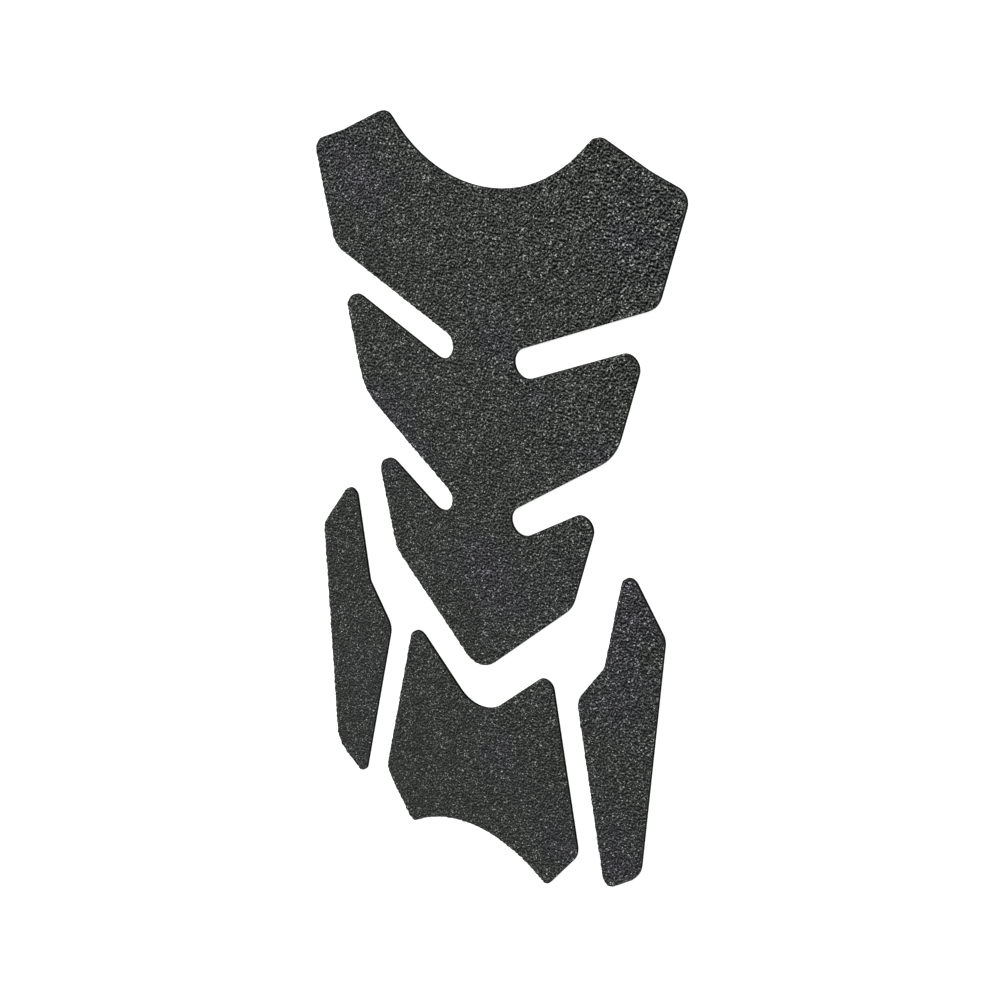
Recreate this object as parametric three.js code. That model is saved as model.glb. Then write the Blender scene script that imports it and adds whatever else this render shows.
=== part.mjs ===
// Motorcycle tank pad: a set of four flat die-cut pads that stick to a fuel tank.
// A long main pad with a hollow for the filler neck, a tail pad below its point and two side wings.
// Millimetres. X runs across the tank, +Y towards the filler neck, +Z out of the tank.
// The adhesive backs lie on Z = 0, and heights along Y are measured from the point of the main pad.
import * as THREE from 'three';

// Sheet that all four pads are cut from
const padThickness = 1.0;
const padColour = 0x3e3f3e;
const padRoughness = 0.92;
const arcTolerance = 0.03;

// Main pad: hips at the lower end of the straight flanks, shoulders at the upper end
const hipHalfWidth = 31.2;
const hipRise = 30.0;
const shoulderHalfWidth = 59.9;
const flankRise = 113.6;
const hipRound = 9.9;
const shoulderRound = 3.8;
const pointRound = 7.3;

// Horns on both sides of the neck hollow, and the slight bend in the edge from horn to shoulder
const hornHalfSpan = 33.4;
const hornRise = 11.0;
const hornRound = 3.5;
const browSetback = 11.9;
const browDepth = 0.65;
const browRound = 20.0;

// Neck hollow: a big arc between two sides that would cross this far below the horns
const neckCrossingDrop = 38.2;
const neckRound = 41.6;

// Two pairs of slots that leave the spine between them and cut the flanks into chevrons
const slotWidth = 8.05;
const spineHalfWidth = 10.25;
const lowerSlotRise = 20.5;
const slotPitch = 44.1;
const upperSlotSlope = 23.5;
const lowerSlotSlope = 34.2;
const lowerSlotFlare = 2.2;
const chevronTipRound = 3.8;
const upperMouthRound = 5.9;
const lowerMouthRound = 15.0;

// Tail pad: its notch runs parallel to the point of the main pad
const pointGap = 10.9;
const notchRound = 10.6;
const tailTipInset = 6.3;
const tailTipRound = 3.1;
const heelHalfWidth = 36.5;
const tailSideDrop = 54.9;
const heelRound = 6.6;
const toeHalfWidth = 25.9;
const toeDrop = 15.1;
const toeRound = 2.1;
const archCrossingRise = 18.8;
const archRound = 40.8;

// Side wing: its long inner edge runs parallel to the side of the tail pad, and each later corner
// is a run across and a rise along the tank from the corner before it
const wingGap = 7.9;
const wingCornerDrop = 5.4;
const wingCornerRound = 6.1;
const waistRun = 8.4;
const waistRise = 12.7;
const waistRound = 3.0;
const wingTipRun = 5.2;
const wingTipRise = 32.0;
const wingTipRound = 2.5;
const wingShoulderRun = 12.9;
const wingShoulderDrop = 18.0;
const wingShoulderRound = 4.9;
const wingOuterTaper = 3.3;
const wingOuterLength = 73.9;
const wingOuterRound = 8.5;
const wingFootDrop = 9.2;
const wingFootRound = 2.4;

// A corner of an outline, with the radius of the arc that rounds it
function corner(x, y, round) {
  return { at: new THREE.Vector2(x, y), round };
}

// The height of the straight line through two points, at a given x
function heightOnLine(from, to, x) {
  return from.y + (x - from.x) * (to.y - from.y) / (to.x - from.x);
}

// The x of the straight line through two points, at a given height
function xOnLine(from, to, y) {
  return from.x + (y - from.y) * (to.x - from.x) / (to.y - from.y);
}

// Rounds every corner of a closed outline with an arc that touches both of its edges. Where two
// arcs would meet on a short edge, both are made smaller by the same share.
function roundedOutline(corners) {
  const count = corners.length;
  const sides = corners.map((here, i) => {
    const before = corners[(i + count - 1) % count].at.clone().sub(here.at);
    const after = corners[(i + 1) % count].at.clone().sub(here.at);
    const length = after.length();
    before.normalize();
    after.normalize();
    const halfAngle = Math.acos(THREE.MathUtils.clamp(before.dot(after), -1, 1)) / 2;
    return { before, after, length, halfAngle, trim: here.round / Math.tan(halfAngle) };
  });
  const shares = sides.map((side, i) => side.length / (side.trim + sides[(i + 1) % count].trim));
  const points = [];
  sides.forEach((side, i) => {
    const share = Math.min(1, shares[i], shares[(i + count - 1) % count]);
    const round = corners[i].round * share;
    const reach = round / Math.sin(side.halfAngle);
    const centre = side.before.clone().add(side.after).setLength(reach).add(corners[i].at);
    const start = side.before.clone().multiplyScalar(side.trim * share).add(corners[i].at).sub(centre);
    const end = side.after.clone().multiplyScalar(side.trim * share).add(corners[i].at).sub(centre);
    const clockwise = start.cross(end) < 0;
    const arc = new THREE.EllipseCurve(centre.x, centre.y, round, round, start.angle(), end.angle(), clockwise);
    const turn = Math.PI - 2 * side.halfAngle;
    const steps = Math.ceil(turn / (2 * Math.acos(1 - arcTolerance / round)));
    for (const point of arc.getPoints(Math.max(2, steps))) {
      const last = points[points.length - 1];
      if (!last || last.distanceTo(point) > arcTolerance / 10) points.push(point);
    }
  });
  return points;
}

// Adds the left half to a right half whose first and last corners lie on the centre line
function withMirroredHalf(right) {
  const left = right.slice(1, -1).map((c) => corner(-c.at.x, c.at.y, c.round));
  return [...right, ...left.reverse()];
}

// The four corners of a slot cut from a flank towards the spine: the upper mouth, the two corners
// that make its half-round end, and the lower mouth. The edges open by half the flare each.
function slotCorners(endHeight, slope, flare, hip, shoulder, upperRound, lowerRound) {
  const radius = slotWidth / 2;
  const centre = new THREE.Vector2(spineHalfWidth + radius, endHeight);
  const axisAngle = THREE.MathUtils.degToRad(slope);
  const axis = new THREE.Vector2(Math.cos(axisAngle), Math.sin(axisAngle));
  const edge = (side, mouthRound) => {
    const lean = side * THREE.MathUtils.degToRad(flare) / 2;
    const along = axis.clone().rotateAround(new THREE.Vector2(), lean);
    const beside = new THREE.Vector2(-along.y, along.x).multiplyScalar(side * radius).add(centre);
    const toEnd = (centre.clone().sub(beside).dot(axis) - radius) / along.dot(axis);
    const end = along.clone().multiplyScalar(toEnd).add(beside);
    const flank = shoulder.clone().sub(hip);
    const toMouth = hip.clone().sub(beside).cross(flank) / along.cross(flank);
    const mouth = along.clone().multiplyScalar(toMouth).add(beside);
    return { end: corner(end.x, end.y, radius), mouth: corner(mouth.x, mouth.y, mouthRound) };
  };
  const upper = edge(1, upperRound);
  const lower = edge(-1, lowerRound);
  return [upper.mouth, upper.end, lower.end, lower.mouth];
}

// Right half of the main pad, from the neck hollow clockwise to the point
const point = corner(0, 0, pointRound);
const hip = corner(hipHalfWidth, hipRise, hipRound);
const shoulder = corner(shoulderHalfWidth, hipRise + flankRise, shoulderRound);
const horn = corner(hornHalfSpan, shoulder.at.y + hornRise, hornRound);
const neck = corner(0, horn.at.y - neckCrossingDrop, neckRound);
const topEdge = horn.at.clone().sub(shoulder.at).normalize();
const brow = corner(
  shoulder.at.x + topEdge.x * browSetback - topEdge.y * browDepth,
  shoulder.at.y + topEdge.y * browSetback + topEdge.x * browDepth,
  browRound,
);
const lowerSlotHeight = hipRise + lowerSlotRise;
const upperSlot = slotCorners(
  lowerSlotHeight + slotPitch, upperSlotSlope, 0, hip.at, shoulder.at, upperMouthRound, chevronTipRound);
const lowerSlot = slotCorners(
  lowerSlotHeight, lowerSlotSlope, lowerSlotFlare, hip.at, shoulder.at, lowerMouthRound, chevronTipRound);
const mainHalf = [neck, horn, brow, shoulder, ...upperSlot, ...lowerSlot, hip, point];

// Right half of the tail pad, from the notch clockwise to the arch
const notchDrop = pointGap * hip.at.length() / hip.at.x;
const tailTipX = hipHalfWidth - tailTipInset;
const tailTip = corner(tailTipX, heightOnLine(point.at, hip.at, tailTipX) - notchDrop, tailTipRound);
const notch = corner(0, -notchDrop, notchRound);
const heel = corner(heelHalfWidth, tailTip.at.y - tailSideDrop, heelRound);
const toe = corner(toeHalfWidth, heel.at.y - toeDrop, toeRound);
const arch = corner(0, toe.at.y + archCrossingRise, archRound);
const tailHalf = [notch, tailTip, heel, toe, arch];

// Right wing, from its inner corner clockwise to its foot, which lies on the same inner edge
const tailSide = heel.at.clone().sub(tailTip.at);
const innerShift = wingGap * tailSide.length() / Math.abs(tailSide.y);
const innerX = (y) => xOnLine(tailTip.at, heel.at, y) + innerShift;
const wingCornerY = tailTip.at.y - wingCornerDrop;
const wingCorner = corner(innerX(wingCornerY), wingCornerY, wingCornerRound);
const waist = corner(wingCorner.at.x + waistRun, wingCorner.at.y + waistRise, waistRound);
const wingTip = corner(waist.at.x + wingTipRun, waist.at.y + wingTipRise, wingTipRound);
const wingShoulder = corner(
  wingTip.at.x + wingShoulderRun, wingTip.at.y - wingShoulderDrop, wingShoulderRound);
const wingOuter = corner(
  wingShoulder.at.x - wingOuterTaper, wingShoulder.at.y - wingOuterLength, wingOuterRound);
const wingFootY = wingOuter.at.y - wingFootDrop;
const wingFoot = corner(innerX(wingFootY), wingFootY, wingFootRound);
const rightWing = [wingCorner, waist, wingTip, wingShoulder, wingOuter, wingFoot];
const leftWing = rightWing.map((c) => corner(-c.at.x, c.at.y, c.round)).reverse();

// One pad: its rounded outline cut through the sheet
function pad(name, corners) {
  const shape = new THREE.Shape(roundedOutline(corners));
  const geometry = new THREE.ExtrudeGeometry(shape, { depth: padThickness, bevelEnabled: false });
  const material = new THREE.MeshStandardMaterial({
    color: padColour,
    roughness: padRoughness,
    metalness: 0,
  });
  const mesh = new THREE.Mesh(geometry, material);
  mesh.name = name;
  return mesh;
}

const set = new THREE.Group();
set.add(pad('main_pad', withMirroredHalf(mainHalf)));
set.add(pad('tail_pad', withMirroredHalf(tailHalf)));
set.add(pad('left_wing', leftWing));
set.add(pad('right_wing', rightWing));

// The origin is the middle of the rectangle that the set covers
const middle = new THREE.Box3().setFromObject(set).getCenter(new THREE.Vector3());
set.position.set(-middle.x, -middle.y, 0);
const tankPad = new THREE.Group();
tankPad.add(set);
export default tankPad;
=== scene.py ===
# Motorcycle tank pad: four flat pads die-cut from one sheet of grained anti-slip rubber.
# They lie face up in their fitting layout, with the filler-neck end towards +Y.
# Metres throughout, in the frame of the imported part.

import bpy
import numpy as np
from mathutils import Matrix, Vector


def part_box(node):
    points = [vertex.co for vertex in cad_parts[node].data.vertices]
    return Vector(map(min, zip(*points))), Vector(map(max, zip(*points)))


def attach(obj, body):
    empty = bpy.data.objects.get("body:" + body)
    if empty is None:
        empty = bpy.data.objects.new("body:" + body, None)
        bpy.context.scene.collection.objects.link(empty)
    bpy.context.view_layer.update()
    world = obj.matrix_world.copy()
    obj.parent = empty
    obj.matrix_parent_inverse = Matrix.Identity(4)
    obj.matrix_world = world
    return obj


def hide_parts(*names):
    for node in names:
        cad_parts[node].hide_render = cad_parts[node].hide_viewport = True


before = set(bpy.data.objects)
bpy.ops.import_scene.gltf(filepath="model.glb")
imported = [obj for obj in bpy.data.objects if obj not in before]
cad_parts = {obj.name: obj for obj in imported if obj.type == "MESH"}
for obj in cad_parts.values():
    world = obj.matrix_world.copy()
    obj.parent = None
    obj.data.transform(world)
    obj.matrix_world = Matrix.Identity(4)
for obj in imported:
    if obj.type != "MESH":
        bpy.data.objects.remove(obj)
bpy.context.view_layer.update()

# Camera
# The set is seen from above its right shoulder through a normal lens, and the picture is rolled
# so that the set's centre line stands nearly upright in it.
CAMERA_EYE = Vector((0.23788, 0.15913, 0.29669))
CAMERA_AIM = Vector((0.00598, 0.00764, 0.0))
PICTURE_UP = Vector((-0.24201, 0.92763, -0.2845))
LENS_MM = 53.946
SENSOR_MM = 36.0
NEAREST_SEEN = 0.01

camera_data = bpy.data.cameras.new("camera")
camera_data.lens = LENS_MM
camera_data.sensor_width = SENSOR_MM
camera_data.clip_start = NEAREST_SEEN
camera = bpy.data.objects.new("camera", camera_data)
bpy.context.collection.objects.link(camera)
backward = (CAMERA_EYE - CAMERA_AIM).normalized()
rightward = PICTURE_UP.cross(backward).normalized()
upward = backward.cross(rightward)
camera_turn = Matrix((rightward, upward, backward)).transposed().to_4x4()
camera.matrix_world = Matrix.Translation(CAMERA_EYE) @ camera_turn
bpy.context.scene.camera = camera

# Studio
# A plain pale floor just under the pads, a large softbox beyond the right of the neck end, a weaker one
# over the left of the tail end and an even grey surround, which the camera sees as white.
WHITE = (1.0, 1.0, 1.0, 1.0)
FLOOR_SIZE = 2.4
FLOOR_DROP = 0.0001        # from the pads' backs down to the floor
FLOOR_COLOUR = (0.82, 0.82, 0.82, 1.0)
FLOOR_ROUGHNESS = 0.9
FLOOR_GLOSS = 0.1
FLOOR_LIFT = 0.6           # light that the floor adds for the camera and for glosses
SURROUND_STRENGTH = 0.25
SOFTBOXES = {
    "key_softbox": {"place": (0.50, 0.90, 1.20), "size": 0.90, "watts": 18.0},
    "fill_softbox": {"place": (-0.90, -0.50, 1.20), "size": 0.90, "watts": 7.0},
}


def plain_floor():
    """A square sheet under the pads. Its colour is lifted a little for rays from the camera or a gloss, so it
    reads as white and still shows the pads' soft shadow."""
    half = FLOOR_SIZE / 2
    corners = ((-half, -half), (half, -half), (half, half), (-half, half))
    mesh = bpy.data.meshes.new("floor")
    mesh.from_pydata([(x, y, -FLOOR_DROP) for x, y in corners], [], [(0, 1, 2, 3)])
    material = bpy.data.materials.new("pale_floor")
    material.use_nodes = True
    nodes, links = material.node_tree.nodes, material.node_tree.links
    shader = nodes["Principled BSDF"]
    shader.inputs["Base Color"].default_value = FLOOR_COLOUR
    shader.inputs["Roughness"].default_value = FLOOR_ROUGHNESS
    shader.inputs["Specular IOR Level"].default_value = FLOOR_GLOSS
    shader.inputs["Emission Color"].default_value = WHITE
    path = nodes.new("ShaderNodeLightPath")
    seen = nodes.new("ShaderNodeMath")
    seen.operation = "MAXIMUM"
    links.new(path.outputs["Is Camera Ray"], seen.inputs[0])
    links.new(path.outputs["Is Glossy Ray"], seen.inputs[1])
    lift = nodes.new("ShaderNodeMath")
    lift.operation = "MULTIPLY"
    lift.inputs[1].default_value = FLOOR_LIFT
    links.new(seen.outputs[0], lift.inputs[0])
    links.new(lift.outputs[0], shader.inputs["Emission Strength"])
    mesh.materials.append(material)
    floor = bpy.data.objects.new("floor", mesh)
    bpy.context.collection.objects.link(floor)
    return floor


plain_floor()

for name, box in SOFTBOXES.items():
    lamp = bpy.data.lights.new(name, "AREA")
    lamp.shape = "SQUARE"
    lamp.size = box["size"]
    lamp.energy = box["watts"]
    lamp_object = bpy.data.objects.new(name, lamp)
    lamp_object.location = box["place"]
    lamp_object.rotation_mode = "QUATERNION"
    lamp_object.rotation_quaternion = (-Vector(box["place"])).to_track_quat("-Z", "Y")
    bpy.context.collection.objects.link(lamp_object)

surround = bpy.data.worlds.new("surround")
surround.use_nodes = True
nodes, links = surround.node_tree.nodes, surround.node_tree.links
dim = nodes["Background"]
dim.inputs["Color"].default_value = WHITE
dim.inputs["Strength"].default_value = SURROUND_STRENGTH
white = nodes.new("ShaderNodeBackground")
white.inputs["Color"].default_value = WHITE
white.inputs["Strength"].default_value = 1.0
path = nodes.new("ShaderNodeLightPath")
either = nodes.new("ShaderNodeMixShader")
links.new(path.outputs["Is Camera Ray"], either.inputs[0])
links.new(dim.outputs[0], either.inputs[1])
links.new(white.outputs[0], either.inputs[2])
links.new(either.outputs[0], nodes["World Output"].inputs["Surface"])
bpy.context.scene.world = surround
bpy.context.scene.view_settings.view_transform = "Standard"

# Main pad
# The long upper pad, stamped by a sharp die out of a 1 mm sheet of black rubber. The sheet's face is
# cast with a coarse anti-slip grain, its cut edge is smooth and dark, and its whole back is adhesive.
SHEET_FLOOR = 0.00080      # height of the valleys between the grains
GRAIN_RELIEF = 0.00046     # height of the tallest grains above the valleys
LOWEST_GRAIN = 0.45        # height of the lowest grains, as a share of the tallest
GRAIN_PITCH = 0.00150      # from one grain to the next
GRAIN_ROUNDNESS = 2.0      # a higher one flattens the tops and steepens the sides
LATTICE_BORDER = 2         # cells that can hold a point's two nearest grains, on each side of its own
GRIT_RELIEF = 0.0001       # random part of the height at each point
SHEET_STEP = 0.00035       # side of one cell of the face's mesh
SHEET_WANDER = 0.7         # of a cell, over which each point of the face is moved at random
SHEET_MARGIN = 0.002       # sheet left outside the cut, on every side


def grain_height(x, y, rng):
    """Height of the grained face over the points x, y. Each cell of a square lattice holds one grain at a
    random place and of a random height. A point lies d1 from its nearest grain and d2 from the next nearest.
    Its height above the valleys is the relief times the grain's height times 1 minus (d1 / d2) to the
    roundness."""
    u, v = x / GRAIN_PITCH, y / GRAIN_PITCH
    u, v = u - np.floor(u.min()) + LATTICE_BORDER, v - np.floor(v.min()) + LATTICE_BORDER
    lattice = (int(v.max()) + 2 * LATTICE_BORDER, int(u.max()) + 2 * LATTICE_BORDER)
    place = rng.random(lattice + (2,))
    tall = LOWEST_GRAIN + (1 - LOWEST_GRAIN) * rng.random(lattice)
    column, row = u.astype(int), v.astype(int)
    nearest = np.full(x.shape, np.inf)
    second = np.full(x.shape, np.inf)
    height = np.zeros(x.shape)
    for down in range(-LATTICE_BORDER, LATTICE_BORDER + 1):
        for across in range(-LATTICE_BORDER, LATTICE_BORDER + 1):
            j, i = row + down, column + across
            away = np.hypot(i + place[j, i, 0] - u, j + place[j, i, 1] - v)
            closer = away < nearest
            second = np.where(closer, nearest, np.minimum(second, away))
            height = np.where(closer, tall[j, i], height)
            nearest = np.minimum(nearest, away)
    dome = 1 - (nearest / second) ** GRAIN_ROUNDNESS
    return SHEET_FLOOR + GRAIN_RELIEF * height * dome


def grained_sheet(name, low, high, seed):
    """A closed rectangular sheet from low to high, in x and y. Its face is a grid of points, each moved
    sideways by a random part of a cell and raised to the grain's height there, give or take the grit. Four
    upright sides and a flat back close it."""
    rng = np.random.default_rng(seed)
    across = int((high[0] - low[0]) / SHEET_STEP) + 2
    along = int((high[1] - low[1]) / SHEET_STEP) + 2
    inner = (along - 2, across - 2)
    x, y = np.meshgrid(np.linspace(low[0], high[0], across), np.linspace(low[1], high[1], along))
    x[1:-1, 1:-1] += (rng.random(inner) - 0.5) * SHEET_STEP * SHEET_WANDER
    y[1:-1, 1:-1] += (rng.random(inner) - 0.5) * SHEET_STEP * SHEET_WANDER
    z = grain_height(x, y, rng) + (rng.random(x.shape) - 0.5) * GRIT_RELIEF
    top = np.stack([x, y, z], -1).reshape(-1, 3)
    corners = ((low[0], low[1]), (high[0], low[1]), (high[0], high[1]), (low[0], high[1]))
    back = np.array([(corner_x, corner_y, 0) for corner_x, corner_y in corners])
    i = np.arange(along * across).reshape(along, across)
    a, b, c, d = i[:-1, :-1].ravel(), i[:-1, 1:].ravel(), i[1:, 1:].ravel(), i[1:, :-1].ravel()
    triangles = np.concatenate([np.stack([a, b, c], -1), np.stack([a, c, d], -1)])
    n = along * across
    front_side = [n, n + 1, *i[0, ::-1].tolist()]
    right_side = [n + 1, n + 2, *i[::-1, -1].tolist()]
    rear_side = [n + 2, n + 3, *i[-1, :].tolist()]
    left_side = [n + 3, n, *i[:, 0].tolist()]
    back_face = [n + 3, n + 2, n + 1, n]
    faces = triangles.tolist() + [front_side, right_side, rear_side, left_side, back_face]
    mesh = bpy.data.meshes.new(name)
    mesh.from_pydata(np.concatenate([top, back]).tolist(), [], faces)
    sheet = bpy.data.objects.new(name, mesh)
    bpy.context.collection.objects.link(sheet)
    return sheet


# Rubber's unevenness, which the face, the cut edge and the back share
CLOUD_DETAIL = 2.0         # finer layers of noise within the cloud
FINE_DETAIL = 3.0          # and within the fine noise
CLOUD_RANGE = (0.35, 0.65)  # most of the cloud lies between these
FINE_RANGE = (0.3, 0.7)     # and most of the fine noise between these
RUBBER_GLOSS = 0.05         # of the bare rubber, which the adhesive covers on the back
COLOUR_A, COLOUR_B = 6, 7   # places of a mix node's two colours among its inputs
COLOUR_RESULT = 2           # and of the mixed colour among its outputs


def rubber_mottle():
    """Node group for all rubber: a slow cloud over the sheet, and a fine noise inside the rubber."""
    group = bpy.data.node_groups.new("rubber_mottle", "ShaderNodeTree")
    group.interface.new_socket("Cloud Scale", in_out="INPUT", socket_type="NodeSocketFloat")
    group.interface.new_socket("Fine Scale", in_out="INPUT", socket_type="NodeSocketFloat")
    group.interface.new_socket("Cloud", in_out="OUTPUT", socket_type="NodeSocketFloat")
    group.interface.new_socket("Fine", in_out="OUTPUT", socket_type="NodeSocketFloat")
    nodes, links = group.nodes, group.links
    enter, leave = nodes.new("NodeGroupInput"), nodes.new("NodeGroupOutput")
    place = nodes.new("ShaderNodeTexCoord")
    for result, detail in (("Cloud", CLOUD_DETAIL), ("Fine", FINE_DETAIL)):
        noise = nodes.new("ShaderNodeTexNoise")
        noise.inputs["Detail"].default_value = detail
        links.new(place.outputs["Object"], noise.inputs["Vector"])
        links.new(enter.outputs[result + " Scale"], noise.inputs["Scale"])
        links.new(noise.outputs["Fac"], leave.inputs[result])
    return group


mottle_group = rubber_mottle()


def rubber_material(name, cloud_scale, fine_scale):
    """A new material that holds the mottle group, with its nodes, its links, its shader and the mottle's
    two results."""
    material = bpy.data.materials.new(name)
    material.use_nodes = True
    nodes, links = material.node_tree.nodes, material.node_tree.links
    mottle = nodes.new("ShaderNodeGroup")
    mottle.node_tree = mottle_group
    mottle.inputs["Cloud Scale"].default_value = cloud_scale
    mottle.inputs["Fine Scale"].default_value = fine_scale
    return material, nodes, links, nodes["Principled BSDF"], mottle.outputs["Cloud"], mottle.outputs["Fine"]


def mapped(nodes, links, source, source_range, result_range):
    """The given output, drawn out evenly from one range to another and held inside the second."""
    node = nodes.new("ShaderNodeMapRange")
    node.inputs["From Min"].default_value, node.inputs["From Max"].default_value = source_range
    node.inputs["To Min"].default_value, node.inputs["To Max"].default_value = result_range
    links.new(source, node.inputs["Value"])
    return node.outputs["Result"]


def combined(nodes, links, operation, first, second):
    """A math node. Each term is a number or an output."""
    node = nodes.new("ShaderNodeMath")
    node.operation = operation
    for socket, term in zip(node.inputs, (first, second)):
        if isinstance(term, float):
            socket.default_value = term
        else:
            links.new(term, socket)
    return node.outputs[0]


def mixed(nodes, links, amount, first, second):
    """A colour mix node. Each colour is a value or an output."""
    node = nodes.new("ShaderNodeMix")
    node.data_type = "RGBA"
    links.new(amount, node.inputs["Factor"])
    for socket, colour in ((node.inputs[COLOUR_A], first), (node.inputs[COLOUR_B], second)):
        if isinstance(colour, tuple):
            socket.default_value = colour
        else:
            links.new(colour, socket)
    return node.outputs[COLOUR_RESULT]


def bumped(nodes, links, shader, height, strength, depth):
    """Small bumps in the shader's surface, from the given height."""
    bump = nodes.new("ShaderNodeBump")
    bump.inputs["Strength"].default_value = strength
    bump.inputs["Distance"].default_value = depth
    links.new(height, bump.inputs["Height"])
    links.new(bump.outputs["Normal"], shader.inputs["Normal"])


# Grained face, whose grit is a pattern much finer than the relief
# A tone of 0 shows the dark colour, and one of 1 or more the pale colour.
FACE_CLOUD_SCALE = 28.0     # patches of tint in one metre
FACE_FINE_SCALE = 2600.0    # fine bumps in one metre
WAVE_SCALE = 1300.0         # waves in one metre of the bend in the grit
GRIT_BEND = 0.0004          # the most that the bend moves it, in x and y
SPECK_SCALE = 4700.0        # specks in one metre
SPECK_SPREAD = 8.0          # the palest speck's tone over the darkest one's
SPECK_TONE = 0.0118         # the darkest speck's tone
VALLEY_SHARE = 0.3          # share of the relief over which the painted shade in the valleys fades out
VALLEY_PAINTED_SHADE = 0.75         # painted shade: the share of a speck's tone left at the bottom of a valley
CRUMB_SCALE = 1650.0        # crumbs in one metre
CRUMB_DETAIL = 2.0          # finer layers of noise within the crumbs
CRUMB_STEP = (-0.00014, 0.00036, 0.0)  # from a point to the one that its height is compared with
CRUMB_FALL = (-0.03, 0.10)  # fall over that step where a crumb is darkest, and where it is palest
CRUMB_PAINTED_SHADING = (0.01, 3.6)   # painted shade and painted light, as shares of a speck's tone at those two falls
FLECK_SCALE = 2100.0        # cells that may hold a fleck, in one metre before they are stretched
FLECK_TURN = 0.45           # radians from the X axis to a fleck's length
FLECK_STRETCH = (1.3, 0.8, 1.0)
FLECK_RARITY = 19.0         # a higher one leaves fewer painted glints
FLECK_REACH = (0.08, 0.32)  # a fleck is full as far as the first, in cells, and gone at the second
FLECK_GLINT_TONE = 3.1            # the palest fleck's tone; the flecks are painted glints
# Strokes, like the flecks, are painted glints, in long cells lying two ways.
STROKE_SCALE = 2100.0       # cells that may hold a stroke, side by side in one metre
STROKE_TURNS = (0.6, -0.7)  # radians from the X axis to a stroke's length
STROKE_STRETCH = (2.4, 1.0, 1.0)
STROKE_RARITY = 45.0
STROKE_REACH = (0.15, 0.4)
STROKE_GLINT_TONE = 0.9
SOFT_LIE = (0.65, 0.75, 0.0)  # across the sheet, from the grit's soft end to its crisp one
SOFT_RANGE = (0.090, -0.095)  # along the lie, the place of the crisp end and of the soft one
SOFTNESS = 0.44             # how far the tone goes towards the even one at the soft end
EVEN_TONE = 0.045           # the tone that all the grit would have if it were wholly even
FACE_DARK = (0.001, 0.001, 0.001, 1.0)
FACE_OLIVE = (0.755, 0.806, 0.727, 1.0)
FACE_GREY = (0.763, 0.80, 0.77, 1.0)
FACE_VIOLET = (0.793, 0.793, 0.857, 1.0)
OLIVE_RANGE = (0.38, 0.47)  # the tint is olive where the cloud is under the first, and grey over the second
VIOLET_RANGE = (0.55, 0.64)  # and grey under the first here, and violet over the second
FACE_ROUGHNESS = (0.65, 0.45)  # where the fine noise is low, and where it is high
FACE_BUMP = 1.0             # strength of the bumps that the fine noise raises
FACE_BUMP_DEPTH = 0.0003    # and their height


def turned(nodes, links, place, turn, stretch):
    """The given coordinates, for a pattern that lies turned about Z and is stretched along its own axes."""
    node = nodes.new("ShaderNodeMapping")
    node.vector_type = "TEXTURE"
    node.inputs["Rotation"].default_value = (0.0, 0.0, turn)
    node.inputs["Scale"].default_value = stretch
    links.new(place, node.inputs["Vector"])
    return node.outputs[0]


def flat_cells(nodes, links, place, scale):
    """Random cells in the plane of the sheet: the distance from a cell's centre, and the cell's own random
    numbers from 0 to 1, which are named Red, Green and Blue."""
    node = nodes.new("ShaderNodeTexVoronoi")
    node.voronoi_dimensions = "2D"
    node.inputs["Scale"].default_value = scale
    links.new(place, node.inputs["Vector"])
    chance = nodes.new("ShaderNodeSeparateColor")
    links.new(node.outputs["Color"], chance.inputs[0])
    return node.outputs["Distance"], chance.outputs


def painted_glints(nodes, links, distance, chance, rarity, reach, tone):
    """Painted glints in the middles of a few cells: the cell's random number to the power of the rarity,
    times a tone that falls to nothing away from the centre."""
    rare = combined(nodes, links, "POWER", chance, rarity)
    core = mapped(nodes, links, distance, reach, (tone, 0.0))
    return combined(nodes, links, "MULTIPLY", rare, core)


def crumb_height(nodes, links, place):
    """The height of the crumbs at the given coordinates, which is a fine noise in the plane of the sheet."""
    node = nodes.new("ShaderNodeTexNoise")
    node.noise_dimensions = "2D"
    node.inputs["Scale"].default_value = CRUMB_SCALE
    node.inputs["Detail"].default_value = CRUMB_DETAIL
    links.new(place, node.inputs["Vector"])
    return node.outputs["Fac"]


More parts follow.
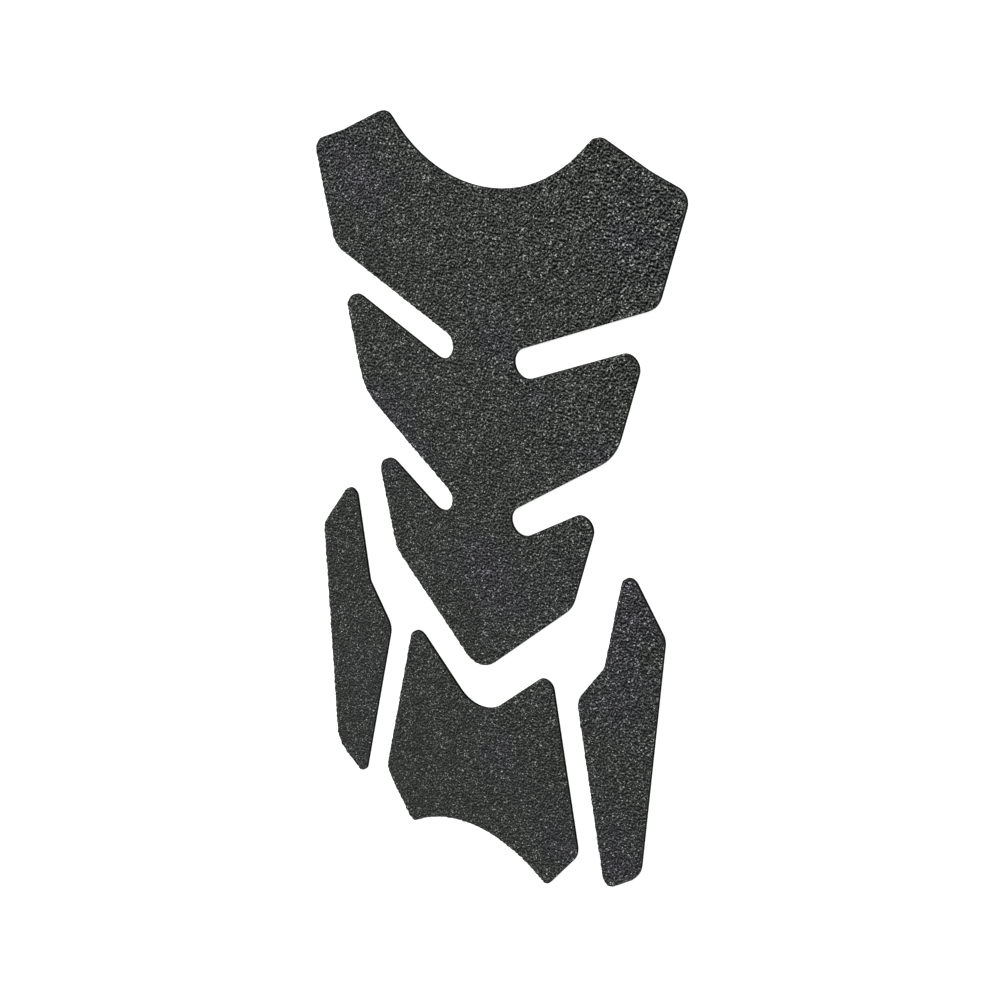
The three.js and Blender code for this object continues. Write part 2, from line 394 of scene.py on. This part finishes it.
def grained_face_material():
    """Charcoal rubber with a grit cast into it, on slightly wavy coordinates. Small cells give each speck its
    own tone: the spread to the power of the cell's random number, times the darkest tone, and less in the
    valleys, where shade is painted. Crumbs then carry painted light and shade: they pale it on the side
    towards the neck end, where their height falls over one step, and darken it on the other. A few cells add
    a pale fleck, and a few long cells, lying two ways, a pale stroke, both painted glints. The grit grows
    more even from the right of the neck end to the left of the tail end, and a slow cloud tints it from olive
    through grey to violet."""
    material, nodes, links, shader, cloud, fine = rubber_material(
        "grained_face", FACE_CLOUD_SCALE, FACE_FINE_SCALE)
    place = nodes.new("ShaderNodeTexCoord").outputs["Object"]
    wave = nodes.new("ShaderNodeTexNoise")
    wave.inputs["Scale"].default_value = WAVE_SCALE
    wave.inputs["Detail"].default_value = 0.0
    links.new(place, wave.inputs["Vector"])
    bend = nodes.new("ShaderNodeVectorMath")
    bend.operation = "MULTIPLY_ADD"
    bend.inputs[1].default_value = (GRIT_BEND, GRIT_BEND, 0.0)
    links.new(wave.outputs["Color"], bend.inputs[0])
    links.new(place, bend.inputs[2])
    bent = bend.outputs[0]

    speck_chance = flat_cells(nodes, links, bent, SPECK_SCALE)[1]
    speck = combined(nodes, links, "POWER", SPECK_SPREAD, speck_chance["Red"])
    # Painted shade: a speck's tone is darker low in the valleys between the grains, where shade would lie.
    split = nodes.new("ShaderNodeSeparateXYZ")
    links.new(place, split.inputs[0])
    valley_rise = (SHEET_FLOOR, SHEET_FLOOR + VALLEY_SHARE * GRAIN_RELIEF)
    valley = mapped(nodes, links, split.outputs["Z"], valley_rise, (VALLEY_PAINTED_SHADE, 1.0))
    tone = combined(nodes, links, "MULTIPLY", speck, valley)
    tone = combined(nodes, links, "MULTIPLY", tone, SPECK_TONE)

    # Painted light and shade: each crumb is paler on the side where its height falls towards the neck end, as
    # if lit from there, and darker on the side where it rises.
    step = nodes.new("ShaderNodeVectorMath")
    step.operation = "ADD"
    step.inputs[1].default_value = CRUMB_STEP
    links.new(bent, step.inputs[0])
    here = crumb_height(nodes, links, bent)
    beyond = crumb_height(nodes, links, step.outputs[0])
    fall = combined(nodes, links, "SUBTRACT", here, beyond)
    tone = combined(nodes, links, "MULTIPLY", tone, mapped(nodes, links, fall, CRUMB_FALL, CRUMB_PAINTED_SHADING))

    # Painted glints: a few cells add a pale fleck, and a few long cells a pale stroke.
    lain = turned(nodes, links, bent, FLECK_TURN, FLECK_STRETCH)
    distance, chance = flat_cells(nodes, links, lain, FLECK_SCALE)
    fleck_glints = painted_glints(nodes, links, distance, chance["Blue"], FLECK_RARITY, FLECK_REACH, FLECK_GLINT_TONE)
    tone = combined(nodes, links, "ADD", tone, fleck_glints)
    for turn in STROKE_TURNS:
        lain = turned(nodes, links, bent, turn, STROKE_STRETCH)
        distance, chance = flat_cells(nodes, links, lain, STROKE_SCALE)
        stroke_glints = painted_glints(nodes, links, distance, chance["Red"], STROKE_RARITY, STROKE_REACH, STROKE_GLINT_TONE)
        tone = combined(nodes, links, "ADD", tone, stroke_glints)

    lie = nodes.new("ShaderNodeVectorMath")
    lie.operation = "DOT_PRODUCT"
    lie.inputs[1].default_value = SOFT_LIE
    links.new(place, lie.inputs[0])
    soft = mapped(nodes, links, lie.outputs["Value"], SOFT_RANGE, (0.0, SOFTNESS))
    evened = nodes.new("ShaderNodeMix")
    links.new(soft, evened.inputs["Factor"])
    links.new(tone, evened.inputs["A"])
    evened.inputs["B"].default_value = EVEN_TONE
    olive = mapped(nodes, links, cloud, OLIVE_RANGE, (1.0, 0.0))
    violet = mapped(nodes, links, cloud, VIOLET_RANGE, (0.0, 1.0))
    pale = mixed(nodes, links, violet, mixed(nodes, links, olive, FACE_GREY, FACE_OLIVE), FACE_VIOLET)
    colour = mixed(nodes, links, evened.outputs["Result"], FACE_DARK, pale)
    links.new(colour, shader.inputs["Base Color"])

    shader.inputs["Specular IOR Level"].default_value = RUBBER_GLOSS
    links.new(mapped(nodes, links, fine, FINE_RANGE, FACE_ROUGHNESS), shader.inputs["Roughness"])
    bumped(nodes, links, shader, fine, FACE_BUMP, FACE_BUMP_DEPTH)
    return material


grained_face = grained_face_material()

# Cut edge, which the die leaves smooth
EDGE_CLOUD_SCALE = 300.0
EDGE_FINE_SCALE = 4000.0
# Black rubber darkened further by painted shade at the foot, and a painted highlight at the rim.
EDGE_FOOT_PAINTED_SHADE = (0.0015, 0.0016, 0.0015, 1.0)
EDGE_RIM_PAINTED_HIGHLIGHT = (0.07, 0.073, 0.07, 1.0)
EDGE_RISE = (0.0007, 0.00088)  # the painted shade holds up to the first height, and the painted highlight from the second
EDGE_HIGHLIGHT_CLOUD = (0.5, 1.0)         # how far the cloud lets the painted highlight pale the rim
EDGE_ROUGHNESS = 0.7
EDGE_BUMP = 0.3
EDGE_BUMP_DEPTH = 0.00003


def cut_edge_material():
    """The smooth black rubber that the die lays open, darkened by painted shade at its foot and paled by a
    painted highlight at its rim to be as pale as the face, unevenly under a slow cloud.
    """
    material, nodes, links, shader, cloud, fine = rubber_material(
        "cut_edge", EDGE_CLOUD_SCALE, EDGE_FINE_SCALE)
    split = nodes.new("ShaderNodeSeparateXYZ")
    links.new(nodes.new("ShaderNodeTexCoord").outputs["Object"], split.inputs[0])
    # Painted shade at the edge's foot, rising to a painted highlight at its rim, which the cloud makes
    # uneven.
    rise = mapped(nodes, links, split.outputs["Z"], EDGE_RISE, (0.0, 1.0))
    highlight_cloud = mapped(nodes, links, cloud, CLOUD_RANGE, EDGE_HIGHLIGHT_CLOUD)
    rim = combined(nodes, links, "MULTIPLY", rise, highlight_cloud)
    links.new(mixed(nodes, links, rim, EDGE_FOOT_PAINTED_SHADE, EDGE_RIM_PAINTED_HIGHLIGHT), shader.inputs["Base Color"])
    shader.inputs["Roughness"].default_value = EDGE_ROUGHNESS
    shader.inputs["Specular IOR Level"].default_value = RUBBER_GLOSS
    bumped(nodes, links, shader, fine, EDGE_BUMP, EDGE_BUMP_DEPTH)
    return material


cut_edge = cut_edge_material()

# Back, which is flat and sticky
BACK_CLOUD_SCALE = 90.0
BACK_FINE_SCALE = 1500.0
BACK_DARK = (0.018, 0.018, 0.019, 1.0)
BACK_PALE = (0.034, 0.034, 0.036, 1.0)
BACK_ROUGHNESS = (0.28, 0.42)
BACK_BUMP = 0.5
BACK_BUMP_DEPTH = 0.00005


def adhesive_back_material():
    """The flat back under its thin clear adhesive: charcoal, smooth, and a little uneven in shade and
    roughness."""
    material, nodes, links, shader, cloud, fine = rubber_material(
        "adhesive_back", BACK_CLOUD_SCALE, BACK_FINE_SCALE)
    shade = mapped(nodes, links, cloud, CLOUD_RANGE, (0.0, 1.0))
    links.new(mixed(nodes, links, shade, BACK_DARK, BACK_PALE), shader.inputs["Base Color"])
    links.new(mapped(nodes, links, fine, FINE_RANGE, BACK_ROUGHNESS), shader.inputs["Roughness"])
    bumped(nodes, links, shader, fine, BACK_BUMP, BACK_BUMP_DEPTH)
    return material


adhesive_back = adhesive_back_material()

# Stamping, which is the same for every pad
DIE_REACH = 0.003          # how far the die passes beyond both faces
WELD_GAP = 1e-6            # points of the die that lie closer than this are one
FACE_TILT = 0.05           # a facet that looks up more than this belongs to the face
BACK_TILT = -0.5           # one that looks down more than this belongs to the back, and the rest to the edge
RIM_ANGLE = 0.6            # radians over which two facets meet in a crisp edge, while others are smoothed
FACE, EDGE, BACK = 0, 1, 2  # places of the finishes in a pad's list


def stamped_pad(name, node, seed):
    """One pad: a grained sheet cut along the node's own outline. The die is the node's solid, drawn out past
    both faces of the sheet, and what lies inside it stays."""
    low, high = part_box(node)
    margin = np.array([SHEET_MARGIN, SHEET_MARGIN])
    pad = grained_sheet(name, np.array(low)[:2] - margin, np.array(high)[:2] + margin, seed)
    die_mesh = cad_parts[node].data.copy()
    points = np.empty(len(die_mesh.vertices) * 3)
    die_mesh.vertices.foreach_get("co", points)
    points = points.reshape(-1, 3)
    halfway = (low[2] + high[2]) / 2
    points[:, 2] = np.where(points[:, 2] > halfway, high[2] + DIE_REACH, low[2] - DIE_REACH)
    die_mesh.vertices.foreach_set("co", points.ravel())
    die = bpy.data.objects.new("die", die_mesh)
    bpy.context.collection.objects.link(die)
    weld = die.modifiers.new("weld", "WELD")
    weld.merge_threshold = WELD_GAP
    cut = pad.modifiers.new("cut", "BOOLEAN")
    cut.operation = "INTERSECT"
    cut.solver = "MANIFOLD"
    cut.object = die
    evaluated = pad.evaluated_get(bpy.context.evaluated_depsgraph_get())
    cut_mesh = bpy.data.meshes.new_from_object(evaluated)
    pad.modifiers.clear()
    pad.data = cut_mesh
    cut_mesh.name = name
    bpy.data.objects.remove(die)
    normals = np.empty(len(cut_mesh.polygons) * 3)
    cut_mesh.polygons.foreach_get("normal", normals)
    tilt = normals.reshape(-1, 3)[:, 2]
    finish = np.select([tilt > FACE_TILT, tilt < BACK_TILT], [FACE, BACK], EDGE)
    cut_mesh.materials.clear()
    for material in (grained_face, cut_edge, adhesive_back):
        cut_mesh.materials.append(material)
    cut_mesh.polygons.foreach_set("material_index", finish.astype(np.int32))
    cut_mesh.set_sharp_from_angle(angle=RIM_ANGLE)
    cut_mesh.update()
    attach(pad, "root")
    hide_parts(node)


stamped_pad("main_grip_pad", "main_pad", seed=11)

# Tail pad
# The lower pad, stamped from the same grained rubber sheet and stuck on by its back like the main pad.
# Its notch runs round the main pad's point, a bare strip of tank away from it.
stamped_pad("tail_grip_pad", "tail_pad", seed=23)

# Side wings
# Two narrow strips for the tank's flanks, each the mirror image of the other, stamped from the same
# grained rubber sheet and stuck on by their backs.
stamped_pad("left_grip_wing", "left_wing", seed=37)
stamped_pad("right_grip_wing", "right_wing", seed=41)
